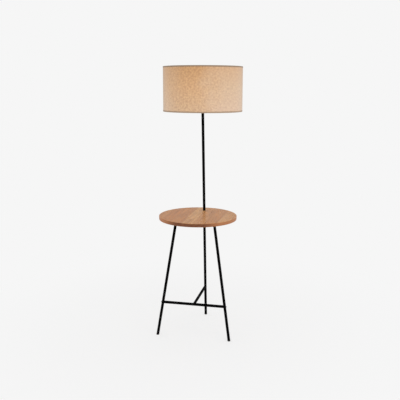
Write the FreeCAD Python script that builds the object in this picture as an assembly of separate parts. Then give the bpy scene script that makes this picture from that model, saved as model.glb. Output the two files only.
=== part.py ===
import FreeCAD, Part
import math
import os

# Floor lamp with a round side table, in millimetres, +Z up.
# The lamp is drawn about the centre of its table, with the two front legs towards -Y.
# It is then moved so that the origin is the middle of its bounding box, on the floor.

# Main sizes
LAMP_HEIGHT = 1550.0
SHADE_D = 450.0
SHADE_HEIGHT = 250.0
TABLE_D = 450.0
TABLE_THICKNESS = 20.0
TABLE_TOP_Z = 705.0
TABLE_EDGE_R = 2.0
STRETCHER_Z = 200.0

# Tripod lines: where each leg's axis meets the floor and the underside of the table
FRONT_FOOT_X = 213.0
FRONT_FOOT_Y = -127.0
FRONT_TOP_X = 110.5
FRONT_TOP_Y = -76.0
REAR_FOOT_Y = 244.0
POLE_LEAN_X = 0.013
POLE_LEAN_Y = -0.152

# Steel tube of the legs, the stretcher and the pole
TUBE_R = 8.0
BORE_R = 6.8

# Feet
PLUG_R = 8.5
PLUG_COLLAR = 7.0
PLUG_STEM = 18.0
PLUG_EDGE = 2.5
PLUG_CHAMFER = 1.0

# Plates under the table and their screws
PLATE_R = 24.0
PLATE_T = 3.0
PLATE_EDGE_R = 0.8
PLATE_SCREW_PCR = 16.5
SCREW_R = 2.0
SCREW_HEAD_R = 3.9
SCREW_LENGTH = 15.0
CROSS_LENGTH = 5.0
CROSS_WIDTH = 1.0
CROSS_DEPTH = 0.8
STUD_R = 4.0
STUD_LENGTH = 22.0
BUSH_LENGTH = 20.0

# Hollow threaded nipples that join the tubes and carry the lead
NIPPLE_R = 5.0
NIPPLE_BORE_R = 3.5
NIPPLE_ENGAGE = 14.0
TOP_NIPPLE_DEPTH = 9.0
TOP_NIPPLE_RISE = 8.0
LEAD_R = 2.6
LEAD_RISE = 20.0

# Washer let into the table flush with its face, under the pole
SEAT_RING_R = 8.9
SEAT_RING_T = 1.2
SEAT_RECESS_R = 9.1

# Bolts of the stretcher
BOLT_R = 2.5
BOLT_HEAD_R = 4.2
BOLT_HEAD_TOP = 10.1
BOLT_HEAD_EDGE_R = 1.0
BOLT_KEY_R = 1.6
BOLT_KEY_DEPTH = 1.0
INSERT_START = 9.6
INSERT_LENGTH = 14.0

# Cord inlet at the back of the rear leg
INLET_Z = 45.0
INLET_R = 3.6
INLET_BEND_R = 4.0
GROMMET_FLANGE_R = 5.6
GROMMET_NECK_START = 6.1
GROMMET_FLANGE_START = 7.0
GROMMET_END = 9.7
GROMMET_LIP_R = 1.0

# Top of the pole: it turns upright inside the shade
BEND_Z = 1305.0
BEND_R = 120.0
POLE_TOP_Z = 1325.0

# Lamp holder, all heights from the top of the pole
CAP_HEIGHT = 27.0
CAP_R = 19.5
CAP_WALL = 2.0
CAP_NECK_R = 9.5
CAP_EDGE_R = 1.5
SHELL_R = 19.6
SHELL_BORE_R = 17.4
FLANGE_R = 22.5
FLANGE_Z = 27.0
FLANGE_T = 3.0
SHELL_TOP_Z = 67.0
THREAD_PITCH = 3.0
THREAD_RISE = 0.6
INSERT_Z = 28.0
INSERT_T = 11.0
INSERT_COLLAR = 8.0
LEAD_HOLE_R = 2.5
TERMINAL_Y = 9.0
TERMINAL_R = 1.5
TERMINAL_LENGTH = 6.0
TERMINAL_HEAD_R = 2.8
TERMINAL_HEAD_T = 2.0
TONGUE_WIDTH = 3.0
SOCKET_R = 13.5
SOCKET_WALL = 0.4
SOCKET_FLOOR_R = 6.0
SOCKET_TOP_Z = 62.0
ROLLED_PITCH = 3.6
ROLLED_DEPTH = 0.5

# Shade carrier
HUB_T = 2.0
HUB_BORE_R = 20.5
HUB_R = 30.0
RING_HEIGHT = 9.0
RING_R = 28.0
RING_NOTCHES = 24
RING_NOTCH_R = 1.1
WIRE_R = 1.6
ARM_COUNT = 3
ARM_BEND_R = 14.0
ARM_FLAT_OUTER = 16.0
ARM_FLAT_INNER = 14.0
ARM_END_R = 24.0
WELD = 0.1

# Shade skins
FABRIC_T = 0.6
LINING_T = 0.4
HEM_T = 0.3
HEM_WIDTH = 7.0

# Switch knob on the side of the lamp holder
KNOB_Z = 16.5
KNOB_R = 5.5
KNOB_LENGTH = 12.0
KNOB_GAP = 1.5
KNOB_FLUTES = 12
KNOB_FLUTE_R = 0.8
KNOB_FLUTE_START = 3.0
KNOB_TAPER = 0.7
KNOB_EDGE_R = 1.0
KNOB_BORE = 8.0
SPINDLE_START = 8.0
SPINDLE_R = 2.0
SPINDLE_COLLAR_R = 3.5
SPINDLE_COLLAR_START = 12.0
SPINDLE_COLLAR_END = 14.5
SPINDLE_CLEARANCE = 0.05

# Light bulb with an E27 cap
BULB_R = 30.0
BULB_LENGTH = 108.0
BULB_CAP_HEIGHT = 25.0
BULB_NECK_R = 14.5
BULB_NECK_HEIGHT = 7.0
BULB_CAP_LOW = 3.5
BULB_CAP_SLEEVE_R = 12.0
BULB_CAP_COLLAR = 3.4
BULB_CONTACT_R = 5.0
BULB_WALL = 1.0
BULB_TIP_Z = 41.5

V = FreeCAD.Vector
UP = V(0, 0, 1)
X_AXIS = V(1, 0, 0)
Y_AXIS = V(0, 1, 0)
BIG = 3000.0
OVERRUN = 10.0

TABLE_R = TABLE_D / 2
UNDERSIDE_Z = TABLE_TOP_Z - TABLE_THICKNESS
PLATE_Z = UNDERSIDE_Z - PLATE_T
SHADE_R = SHADE_D / 2
SHADE_BOTTOM_Z = LAMP_HEIGHT - SHADE_HEIGHT
POLE_FOOT = V(0, REAR_FOOT_Y, 0)


def pole_at(z):
    return POLE_FOOT + V(POLE_LEAN_X, POLE_LEAN_Y, 1) * z


def front_leg_at(side, z):
    share = z / UNDERSIDE_Z
    x = FRONT_FOOT_X + (FRONT_TOP_X - FRONT_FOOT_X) * share
    y = FRONT_FOOT_Y + (FRONT_TOP_Y - FRONT_FOOT_Y) * share
    return V(side * x, y, z)


# The upright end of the pole, the lamp holder, the bulb and the shade share this axis.
SHADE_X = pole_at(BEND_Z).x
SHADE_Y = pole_at(BEND_Z).y
HOLDER = V(SHADE_X, SHADE_Y, POLE_TOP_Z)

# Middle of the bounding box: the table reaches lowest in X and Y, the shade highest.
CENTRE = V((SHADE_X + SHADE_R - TABLE_R) / 2, (SHADE_Y + SHADE_R - TABLE_R) / 2, 0)


def save(shape, node):
    moved = shape.copy()
    moved.translate(-CENTRE)
    moved.exportStep("parts/" + node + ".step")
    print(node, len(moved.Solids), round(moved.Volume / 1000.0, 3), "cm3")


def unit(vector):
    copy = V(vector)
    copy.normalize()
    return copy


def rod(start, end, radius):
    return Part.makeCylinder(radius, (end - start).Length, start, end - start)


def pipe(start, end, outer, inner):
    return rod(start, end, outer).cut(rod(start, end, inner))


def above(z):
    return Part.makeBox(BIG, BIG, BIG, V(-BIG / 2, -BIG / 2, z))


def below(z):
    return Part.makeBox(BIG, BIG, BIG, V(-BIG / 2, -BIG / 2, z - BIG))


def revolved(points, centre):
    """A closed outline of (radius, height) corners turned about the upright axis at centre."""
    corners = [V(centre.x + r, centre.y, centre.z + z) for r, z in points]
    face = Part.Face(Part.makePolygon(corners + corners[:1]))
    return face.revolve(centre, UP, 360)


def disc_ring(outer, inner, low, high, centre):
    return revolved([(inner, low), (outer, low), (outer, high), (inner, high)], centre)


def around(shape, centre, count):
    return [shape.rotated(centre, UP, 360.0 * k / count) for k in range(count)]


# ---------------------------------------------------------------- table

def leg_tops():
    return [front_leg_at(-1, PLATE_Z), front_leg_at(1, PLATE_Z), pole_at(PLATE_Z)]


def screw_places(top):
    """Three screws round a leg's plate, one of them towards the rim of the table."""
    outward = math.atan2(top.y, top.x)
    turns = [outward + math.radians(120.0 * k) for k in range(3)]
    return [V(top.x + PLATE_SCREW_PCR * math.cos(a), top.y + PLATE_SCREW_PCR * math.sin(a), PLATE_Z)
            for a in turns]


def table_top():
    board = Part.makeCylinder(TABLE_R, TABLE_THICKNESS, V(0, 0, UNDERSIDE_Z))
    rims = [e for e in board.Edges if e.Closed and e.Length > 4 * TABLE_R]
    board = board.makeFillet(TABLE_EDGE_R, rims)
    board = board.cut(rod(pole_at(UNDERSIDE_Z - OVERRUN), pole_at(TABLE_TOP_Z + OVERRUN), NIPPLE_R))
    seat = pole_at(TABLE_TOP_Z) - UP * SEAT_RING_T
    board = board.cut(Part.makeCylinder(SEAT_RECESS_R, OVERRUN, seat))
    for top in leg_tops():
        for place in screw_places(top):
            board = board.cut(Part.makeCylinder(SCREW_R, SCREW_LENGTH, place))
    return board


def leg_plate(top, hole_r):
    """Steel disc under the table with three countersunk holes."""
    plate = Part.makeCylinder(PLATE_R, PLATE_T, V(top.x, top.y, PLATE_Z))
    rim = [e for e in plate.Edges if e.Closed and e.Vertexes[0].Z < PLATE_Z + 1]
    plate = plate.makeFillet(PLATE_EDGE_R, rim)
    for place in screw_places(top):
        plate = plate.cut(Part.makeCylinder(SCREW_R, PLATE_T, place))
        plate = plate.cut(Part.makeCone(SCREW_HEAD_R, SCREW_R, SCREW_HEAD_R - SCREW_R, place))
    if hole_r > 0:
        plate = plate.cut(rod(pole_at(PLATE_Z - OVERRUN), pole_at(UNDERSIDE_Z + OVERRUN), hole_r))
    return plate


def front_plate(side):
    """The front plates carry a slanted stud that the leg screws onto."""
    top = front_leg_at(side, PLATE_Z)
    plate = leg_plate(top, 0)
    down = unit(front_leg_at(side, 0) - top)
    stud = rod(top + down * STUD_LENGTH, top - down * PLATE_T, STUD_R).cut(above(UNDERSIDE_Z))
    return plate.fuse(stud).removeSplitter()


def plate_screws():
    """Countersunk screws with a cross recess, heads down."""
    screws = []
    half = CROSS_LENGTH / 2
    rim = CROSS_WIDTH / 2
    below_head = UP * (CROSS_WIDTH - CROSS_DEPTH)
    for top in leg_tops():
        for place in screw_places(top):
            head = Part.makeCone(SCREW_HEAD_R, SCREW_R, SCREW_HEAD_R - SCREW_R, place)
            shank = Part.makeCylinder(SCREW_R, SCREW_LENGTH, place)
            slot = Part.makeBox(CROSS_WIDTH, CROSS_LENGTH, CROSS_WIDTH, place - V(rim, half, 0) - below_head)
            cross = Part.makeBox(CROSS_LENGTH, CROSS_WIDTH, CROSS_WIDTH, place - V(half, rim, 0) - below_head)
            screws.append(head.fuse(shank).cut(slot).cut(cross).removeSplitter())
    return Part.makeCompound(screws)


# ---------------------------------------------------------------- tripod

def tube_to_plate(foot, top):
    """A leg: cut square above its foot plug and level under its plate."""
    up = unit(top - foot)
    start = foot + up * PLUG_COLLAR
    return pipe(start, top + up * OVERRUN, TUBE_R, BORE_R).cut(above(PLATE_Z))


def front_leg(side):
    leg = tube_to_plate(front_leg_at(side, 0), front_leg_at(side, PLATE_Z))
    node = front_leg_at(side, STRETCHER_Z)
    return leg.cut(rod(node - X_AXIS * OVERRUN, node + X_AXIS * OVERRUN, BOLT_R))


def rear_leg():
    leg = tube_to_plate(POLE_FOOT, pole_at(PLATE_Z))
    inlet = pole_at(INLET_Z)
    return leg.cut(rod(inlet, inlet + Y_AXIS * OVERRUN, INLET_R))


def foot_plug(foot, top):
    """A rounded plastic plug: a stem in the tube and a collar cut level by the floor."""
    up = unit(top - foot)
    collar = Part.makeCylinder(PLUG_R, 2 * PLUG_COLLAR, foot - up * PLUG_COLLAR, up)
    level = collar.cut(below(0))
    sole = [e for e in level.Edges if e.BoundBox.ZMax < 0.01]
    level = level.makeFillet(PLUG_EDGE, sole)
    stem = rod(foot + up * PLUG_COLLAR, foot + up * (PLUG_COLLAR + PLUG_STEM), BORE_R)
    stem = stem.makeChamfer(PLUG_CHAMFER, [e for e in stem.Edges if e.Closed and e.BoundBox.ZMin > PLUG_STEM])
    shoulder = foot + up * PLUG_COLLAR
    return level.cut(rod(shoulder, shoulder + up * BIG, 2 * PLUG_R)).fuse(stem).removeSplitter()


def leg_bushes():
    """Threaded bushes in the front legs' upper ends, round the plates' studs."""
    bushes = []
    for side in (-1, 1):
        top = front_leg_at(side, PLATE_Z)
        down = unit(front_leg_at(side, 0) - top)
        bush = pipe(top + down * BUSH_LENGTH, top - down * PLATE_T, BORE_R, STUD_R)
        bushes.append(bush.cut(above(PLATE_Z)))
    return Part.makeCompound(bushes)


def rear_stud():
    """Threaded stud on the front of the rear leg, which the brace screws onto."""
    leg = pole_at(STRETCHER_Z)
    stud = rod(leg, leg - Y_AXIS * (INSERT_START + INSERT_LENGTH), BOLT_R)
    return stud.cut(rod(POLE_FOOT, pole_at(PLATE_Z), TUBE_R))


def cord_grommet():
    """Rubber grommet in the rear leg's wall, where the cord comes out."""
    inlet = pole_at(INLET_Z)
    mouth = inlet + Y_AXIS * GROMMET_END
    flange = rod(inlet + Y_AXIS * GROMMET_FLANGE_START, mouth, GROMMET_FLANGE_R)
    flange = flange.cut(rod(POLE_FOOT, pole_at(PLATE_Z), TUBE_R))
    neck = rod(inlet + Y_AXIS * GROMMET_NECK_START, mouth, INLET_R)
    lip = [e for e in flange.Edges if e.Closed and e.BoundBox.YMin > mouth.y - 0.1]
    body = flange.makeFillet(GROMMET_LIP_R, lip).fuse(neck)
    return body.cut(rod(inlet, inlet + Y_AXIS * 2 * OVERRUN, LEAD_R)).removeSplitter()


# ---------------------------------------------------------------- stretcher

def brace_front():
    """Where the brace's axis meets the bar's."""
    leg = pole_at(STRETCHER_Z)
    return V(leg.x, front_leg_at(1, STRETCHER_Z).y, leg.z)


def stretcher_bar():
    """Tube between the front legs, its ends shaped to them, bored for the brace's bolt."""
    left = front_leg_at(-1, STRETCHER_Z)
    right = front_leg_at(1, STRETCHER_Z)
    bar = pipe(left, right, TUBE_R, BORE_R)
    for side in (-1, 1):
        bar = bar.cut(rod(front_leg_at(side, 0), front_leg_at(side, UNDERSIDE_Z), TUBE_R))
    joint = brace_front()
    return bar.cut(rod(joint - Y_AXIS * OVERRUN, joint + Y_AXIS * OVERRUN, BOLT_R))


def stretcher_brace():
    """Tube from the bar to the rear leg, both ends shaped to the tubes they meet."""
    left = front_leg_at(-1, STRETCHER_Z)
    right = front_leg_at(1, STRETCHER_Z)
    brace = pipe(brace_front(), pole_at(STRETCHER_Z), TUBE_R, BORE_R)
    brace = brace.cut(rod(left, right, TUBE_R))
    return brace.cut(rod(POLE_FOOT, pole_at(PLATE_Z), TUBE_R))


def stretcher_ends():
    """Start point and inward direction of every bolted end of the stretcher's tubes."""
    left = front_leg_at(-1, STRETCHER_Z)
    right = front_leg_at(1, STRETCHER_Z)
    bolted = [(left, X_AXIS), (right, -X_AXIS), (brace_front(), Y_AXIS)]
    return bolted, (pole_at(STRETCHER_Z), -Y_AXIS)


def stretcher_inserts():
    bolted, screwed = stretcher_ends()
    inserts = [pipe(p + d * INSERT_START, p + d * (INSERT_START + INSERT_LENGTH), BORE_R, BOLT_R)
               for p, d in bolted + [screwed]]
    return Part.makeCompound(inserts)


def stretcher_bolts():
    bolts = []
    bolted, _ = stretcher_ends()
    for place, inward in bolted:
        shank = rod(place - inward * TUBE_R, place + inward * (INSERT_START + INSERT_LENGTH - 1), BOLT_R)
        head = rod(place - inward * BOLT_HEAD_TOP, place, BOLT_HEAD_R)
        if abs(inward.x) > 0.5:
            side = -inward.x
            held = rod(front_leg_at(side, 0), front_leg_at(side, UNDERSIDE_Z), TUBE_R)
        else:
            held = rod(place - X_AXIS * OVERRUN, place + X_AXIS * OVERRUN, TUBE_R)
        rim = [e for e in head.Edges if e.Closed and (e.CenterOfMass - place).Length > TUBE_R]
        head = head.makeFillet(BOLT_HEAD_EDGE_R, rim).cut(held)
        hexagon = [place - inward * BOLT_HEAD_TOP + hex_corner(inward, k) for k in range(7)]
        key = Part.Face(Part.makePolygon(hexagon)).extrude(inward * BOLT_KEY_DEPTH)
        bolts.append(head.fuse(shank).cut(key).removeSplitter())
    return Part.makeCompound(bolts)


def hex_corner(axis, k):
    side = UP.cross(axis)
    turn = math.radians(60.0 * (k % 6))
    return side * (BOLT_KEY_R * math.cos(turn)) + UP * (BOLT_KEY_R * math.sin(turn))


# ---------------------------------------------------------------- pole

def pole_path(start_z, end_z):
    """The pole's centre line: straight up to the bend, then an arc to upright."""
    corner = pole_at(BEND_Z)
    lean = unit(V(POLE_LEAN_X, POLE_LEAN_Y, 1))
    turn = lean.getAngle(UP)
    reach = BEND_R * math.tan(turn / 2)
    first = corner - lean * reach
    last = corner + UP * reach
    outward = unit(V(-POLE_LEAN_X, -POLE_LEAN_Y, 0))
    centre = last + outward * BEND_R
    middle = centre + unit(corner - centre) * BEND_R
    edges = [Part.makeLine(pole_at(start_z), first),
             Part.Arc(first, middle, last).toShape(),
             Part.makeLine(last, V(corner.x, corner.y, end_z))]
    return Part.Wire(edges)


def bent_rod(start_z, end_z, radius):
    lean = V(POLE_LEAN_X, POLE_LEAN_Y, 1)
    ring = Part.Wire([Part.makeCircle(radius, pole_at(start_z), lean)])
    return pole_path(start_z, end_z).makePipeShell([ring], True, False)


def upper_pole():
    """Leaning tube that stands on the washer and turns upright inside the shade."""
    start = TABLE_TOP_Z - OVERRUN
    pole = bent_rod(start, POLE_TOP_Z, TUBE_R).cut(bent_rod(start, POLE_TOP_Z, BORE_R))
    return pole.cut(below(TABLE_TOP_Z))


def seat_ring():
    """Washer under the pole, let into the wood."""
    seat = pole_at(TABLE_TOP_Z) - UP * SEAT_RING_T
    ring = Part.makeCylinder(SEAT_RING_R, SEAT_RING_T, seat)
    return ring.cut(rod(pole_at(TABLE_TOP_Z - OVERRUN), pole_at(TABLE_TOP_Z + OVERRUN), NIPPLE_R))


def pole_nipple():
    """Hollow nipple through plate and table that joins the rear leg and the pole."""
    low = pole_at(PLATE_Z - NIPPLE_ENGAGE)
    high = pole_at(TABLE_TOP_Z + NIPPLE_ENGAGE)
    return pipe(low, high, NIPPLE_R, NIPPLE_BORE_R)


def pole_bushes():
    """Threaded bushes at the top of the rear leg and at both ends of the pole."""
    under = pipe(pole_at(PLATE_Z - BUSH_LENGTH), pole_at(PLATE_Z + OVERRUN), BORE_R, NIPPLE_R)
    over = pipe(pole_at(TABLE_TOP_Z - OVERRUN), pole_at(TABLE_TOP_Z + BUSH_LENGTH), BORE_R, NIPPLE_R)
    end = pipe(HOLDER - UP * TOP_NIPPLE_DEPTH, HOLDER, BORE_R, NIPPLE_R)
    return Part.makeCompound([under.cut(above(PLATE_Z)), over.cut(below(TABLE_TOP_Z)), end])


def inner_lead():
    """Two-core lead inside the pole, from the inlet up to the lamp holder."""
    corner = pole_at(INLET_Z)
    lean = unit(V(POLE_LEAN_X, POLE_LEAN_Y, 1))
    turn = lean.getAngle(-Y_AXIS)
    reach = INLET_BEND_R * math.tan(turn / 2)
    centre = corner + unit(lean + Y_AXIS) * (INLET_BEND_R / math.cos(turn / 2))
    start = corner + Y_AXIS * reach
    nearest = centre + unit(corner - centre) * INLET_BEND_R
    end = corner + lean * reach
    mouth = corner + Y_AXIS * GROMMET_END
    path = Part.Wire([Part.makeLine(mouth, start), Part.Arc(start, nearest, end).toShape()])
    ring = Part.Wire([Part.makeCircle(LEAD_R, mouth, -Y_AXIS)])
    elbow = path.makePipeShell([ring], True, False)
    return elbow.fuse(bent_rod(end.z, POLE_TOP_Z + LEAD_RISE, LEAD_R)).removeSplitter()


# ---------------------------------------------------------------- lamp holder

def holder_nipple():
    return pipe(HOLDER - UP * TOP_NIPPLE_DEPTH, HOLDER + UP * TOP_NIPPLE_RISE, NIPPLE_R, NIPPLE_BORE_R)


def holder_cap():
    """Bell-shaped lower half with a neck round the nipple and a hole for the switch."""
    bore = CAP_R - CAP_WALL
    outer = [(NIPPLE_R, 0), (CAP_NECK_R, 0), (CAP_NECK_R, 3), (12, 6), (17, 9), (CAP_R, 13),
             (CAP_R, CAP_HEIGHT)]
    inner = [(bore, CAP_HEIGHT), (bore, 14), (15.5, 11), (10, 8), (NIPPLE_R, 6)]
    cap = revolved(outer + inner, HOLDER)
    rim = [e for e in cap.Edges if e.Closed and abs(e.Length - 2 * math.pi * CAP_R) < 0.1]
    cap = cap.makeFillet(CAP_EDGE_R, [e for e in rim if e.BoundBox.ZMax < HOLDER.z + CAP_HEIGHT / 2])
    hole_r = SPINDLE_R + SPINDLE_CLEARANCE
    knob_axis = HOLDER + UP * KNOB_Z
    return cap.cut(rod(knob_axis + X_AXIS * OVERRUN, knob_axis + X_AXIS * (CAP_R + OVERRUN), hole_r))


def holder_shell():
    """Upper half: a flange that carries the shade, and a skirt with rounded thread ridges."""
    outline = [(SHELL_BORE_R, FLANGE_Z), (FLANGE_R, FLANGE_Z), (FLANGE_R, FLANGE_Z + FLANGE_T),
               (SHELL_R, FLANGE_Z + FLANGE_T)]
    z = FLANGE_Z + FLANGE_T + HUB_T + 1.0
    while z < SHELL_TOP_Z - THREAD_PITCH:
        outline += [(SHELL_R, z), (SHELL_R + THREAD_RISE, z + 0.9), (SHELL_R + THREAD_RISE, z + 1.5),
                    (SHELL_R, z + 2.4)]
        z += THREAD_PITCH
    outline += [(SHELL_R, SHELL_TOP_Z), (SHELL_BORE_R, SHELL_TOP_Z)]
    return revolved(outline, HOLDER)


def holder_insert():
    """Ceramic core: a floor with two screw holes and a collar round the screw shell."""
    top = INSERT_Z + INSERT_T
    bore = SOCKET_R + SOCKET_WALL
    outline = [(LEAD_HOLE_R, INSERT_Z), (SHELL_BORE_R, INSERT_Z), (SHELL_BORE_R, top + INSERT_COLLAR),
               (bore, top + INSERT_COLLAR), (bore, top), (LEAD_HOLE_R, top)]
    core = revolved(outline, HOLDER)
    for side in (-1, 1):
        place = HOLDER + V(0, side * TERMINAL_Y, INSERT_Z)
        core = core.cut(Part.makeCylinder(TERMINAL_R, TERMINAL_LENGTH, place))
    return core


def corrugated(bore, wall, low, high, centre):
    """A rolled thread drawn as rings: a thin shell that waves in and out."""
    steps = int((high - low) / ROLLED_PITCH) * 4
    heights = [low + (high - low) * k / steps for k in range(steps + 1)]
    wave = [ROLLED_DEPTH * (1 - math.cos(2 * math.pi * (z - low) / ROLLED_PITCH)) / 2 for z in heights]
    inner = [(bore + w, z) for w, z in zip(wave, heights)]
    outer = [(bore + wall + w, z) for w, z in zip(wave, heights)]
    return revolved(inner + outer[::-1], centre)


def screw_shell():
    """Rolled nickel sleeve with a turned-in floor on the ceramic."""
    low = INSERT_Z + INSERT_T
    bore = SOCKET_R - ROLLED_DEPTH
    sleeve = corrugated(bore, SOCKET_WALL, low + SOCKET_WALL, SOCKET_TOP_Z, HOLDER)
    floor = disc_ring(bore + SOCKET_WALL, SOCKET_FLOOR_R, low, low + SOCKET_WALL, HOLDER)
    return sleeve.fuse(floor).removeSplitter()


def centre_contact():
    """Springy tongue under the bulb's tip: a strip with a raised end."""
    low = INSERT_Z + INSERT_T
    under = BULB_TIP_Z - 0.5
    profile = [(-4, low), (4, low), (4, low + 0.5), (2, BULB_TIP_Z), (-1.5, BULB_TIP_Z), (-1.5, under),
               (1.4, under), (3, low + 0.5), (-4, low + 0.5)]
    placed = [HOLDER + V(x, -TONGUE_WIDTH / 2, z) for x, z in profile]
    face = Part.Face(Part.makePolygon(placed + placed[:1]))
    return face.extrude(Y_AXIS * TONGUE_WIDTH)


def terminal_screws():
    screws = []
    for side in (-1, 1):
        base = HOLDER + V(0, side * TERMINAL_Y, INSERT_Z)
        shank = Part.makeCylinder(TERMINAL_R, TERMINAL_LENGTH, base)
        head = Part.makeCylinder(TERMINAL_HEAD_R, TERMINAL_HEAD_T, base - UP * TERMINAL_HEAD_T)
        slot = Part.makeBox(7.0, 0.8, 1.0, base - V(3.5, 0.4, TERMINAL_HEAD_T + 0.4))
        screws.append(shank.fuse(head).cut(slot).removeSplitter())
    return Part.makeCompound(screws)


def shade_ring():
    """Notched ring that screws down on the skirt and clamps the shade's hub."""
    low = FLANGE_Z + FLANGE_T + HUB_T
    bore = SHELL_R + THREAD_RISE + 0.1
    ring = disc_ring(RING_R, bore, low, low + RING_HEIGHT, HOLDER)
    notch = Part.makeCylinder(RING_NOTCH_R, RING_HEIGHT, HOLDER + V(RING_R + 0.3, 0, low + 2.0))
    return ring.cut(Part.makeCompound(around(notch, HOLDER, RING_NOTCHES)))


def switch_knob():
    """Tapered knob with a rounded end and flutes round its grip."""
    axis = HOLDER + UP * KNOB_Z
    start = axis + X_AXIS * (CAP_R + KNOB_GAP)
    knob = Part.makeCone(KNOB_R, KNOB_R - KNOB_TAPER, KNOB_LENGTH, start, X_AXIS)
    end = [e for e in knob.Edges if e.Closed and e.BoundBox.XMin > start.x + KNOB_LENGTH - 0.1]
    knob = knob.makeFillet(KNOB_EDGE_R, end)
    flute_start = start + X_AXIS * KNOB_FLUTE_START + UP * (KNOB_R + 0.2)
    flute = Part.makeCylinder(KNOB_FLUTE_R, KNOB_LENGTH, flute_start, X_AXIS)
    flutes = [flute.rotated(axis, X_AXIS, 360.0 * k / KNOB_FLUTES) for k in range(KNOB_FLUTES)]
    return knob.cut(Part.makeCompound(flutes)).cut(rod(axis, start + X_AXIS * KNOB_BORE, SPINDLE_R))


def switch_spindle():
    """Shaft through the cap's wall with a collar that keeps it in."""
    axis = HOLDER + UP * KNOB_Z
    shaft = rod(axis + X_AXIS * SPINDLE_START, axis + X_AXIS * (CAP_R + KNOB_GAP + KNOB_BORE), SPINDLE_R)
    collar = rod(axis + X_AXIS * SPINDLE_COLLAR_START, axis + X_AXIS * SPINDLE_COLLAR_END, SPINDLE_COLLAR_R)
    return shaft.fuse(collar).removeSplitter()


# ---------------------------------------------------------------- shade

SHADE = V(SHADE_X, SHADE_Y, 0)
FABRIC_R = SHADE_R - HEM_T
LINING_R = FABRIC_R - FABRIC_T
WIRE_RING_R = LINING_R - LINING_T - WIRE_R
HUB_Z = POLE_TOP_Z + FLANGE_Z + FLANGE_T
RING_LOW_Z = SHADE_BOTTOM_Z + HEM_T + WIRE_R
RING_HIGH_Z = LAMP_HEIGHT - HEM_T - WIRE_R


def shade_skin(outer, thickness):
    return disc_ring(outer, outer - thickness, SHADE_BOTTOM_Z + HEM_T, LAMP_HEIGHT - HEM_T, SHADE)


def wire_ring(z):
    return Part.makeTorus(WIRE_RING_R, WIRE_R, SHADE + UP * z)


def hem(edge_z, inward):
    """Tape folded over a rim: outside, across the edge, and inside past the wire."""
    inner = WIRE_RING_R - WIRE_R - HEM_T
    fold = edge_z + inward * HEM_T
    end = edge_z + inward * HEM_WIDTH
    outline = [(SHADE_R, edge_z), (SHADE_R, end), (FABRIC_R, end), (FABRIC_R, fold),
               (inner + HEM_T, fold), (inner + HEM_T, end), (inner, end), (inner, edge_z)]
    return revolved(outline, SHADE)


def shade_hub():
    """Flat ring that sits on the holder's flange."""
    return disc_ring(HUB_R, HUB_BORE_R, HUB_Z, HUB_Z + HUB_T, SHADE)


def spider_arm(k):
    """Wire from the lower ring up to the underside of the hub, level at both ends."""
    low = RING_LOW_Z
    high = HUB_Z - WIRE_R + WELD
    outer = WIRE_RING_R - WIRE_R + WELD
    inner = ARM_END_R
    knee_out = V(outer - ARM_FLAT_OUTER, 0, low)
    knee_in = V(inner + ARM_FLAT_INNER, 0, high)
    slope = unit(knee_in - knee_out)
    turn = slope.getAngle(V(-1, 0, 0))
    reach = ARM_BEND_R * math.tan(turn / 2)
    a = knee_out + X_AXIS * reach
    b = knee_out + slope * reach
    c = knee_in - slope * reach
    d = knee_in - X_AXIS * reach
    mid_ab = a + UP * ARM_BEND_R + unit(knee_out - a - UP * ARM_BEND_R) * ARM_BEND_R
    mid_cd = d - UP * ARM_BEND_R + unit(knee_in - d + UP * ARM_BEND_R) * ARM_BEND_R
    path = Part.Wire([Part.makeLine(V(outer, 0, low), a), Part.Arc(a, mid_ab, b).toShape(),
                      Part.makeLine(b, c), Part.Arc(c, mid_cd, d).toShape(),
                      Part.makeLine(d, V(inner, 0, high))])
    ring = Part.Wire([Part.makeCircle(WIRE_R, V(outer, 0, low), -X_AXIS)])
    arm = path.makePipeShell([ring], True, False)
    arm.rotate(V(0, 0, 0), UP, 90.0 + 360.0 * k / ARM_COUNT)
    arm.translate(SHADE)
    return arm


# ---------------------------------------------------------------- bulb

def bulb_half(radius, offset):
    """Outline of the glass from its neck to its crown, (radius, height) from the bulb's tip."""
    crown = BULB_LENGTH - BULB_R
    start = V(BULB_NECK_R - offset, 0, BULB_CAP_HEIGHT)
    neck = V(BULB_NECK_R - offset, 0, BULB_CAP_HEIGHT + BULB_NECK_HEIGHT)
    slope = math.radians(35)
    shoulder = V(radius * math.cos(slope), 0, crown - radius * math.sin(slope))
    flare = Part.BSplineCurve()
    flare.interpolate(Points=[neck, shoulder], InitialTangent=UP * 1.0,
                      FinalTangent=V(math.sin(slope), 0, math.cos(slope)))
    side = V(radius, 0, crown)
    diagonal = radius * math.cos(math.radians(45))
    dome = Part.Arc(shoulder, side, V(diagonal, 0, crown + diagonal))
    cap = Part.Arc(V(diagonal, 0, crown + diagonal),
                   V(radius * math.sin(math.radians(22)), 0, crown + radius * math.cos(math.radians(22))),
                   V(0, 0, crown + radius))
    return [Part.makeLine(start, neck), flare.toShape(), dome.toShape(), cap.toShape()]


def glass_body(radius, offset):
    edges = bulb_half(radius, offset)
    floor = Part.makeLine(V(0, 0, BULB_CAP_HEIGHT), V(BULB_NECK_R - offset, 0, BULB_CAP_HEIGHT))
    axis = Part.makeLine(V(0, 0, BULB_LENGTH - BULB_R + radius), V(0, 0, BULB_CAP_HEIGHT))
    face = Part.Face(Part.Wire([floor] + edges + [axis]))
    return face.revolve(V(0, 0, 0), UP, 360)


def bulb_glass():
    glass = glass_body(BULB_R, 0).cut(glass_body(BULB_R - BULB_WALL, BULB_WALL))
    glass.translate(HOLDER + UP * BULB_TIP_Z)
    return glass


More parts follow.
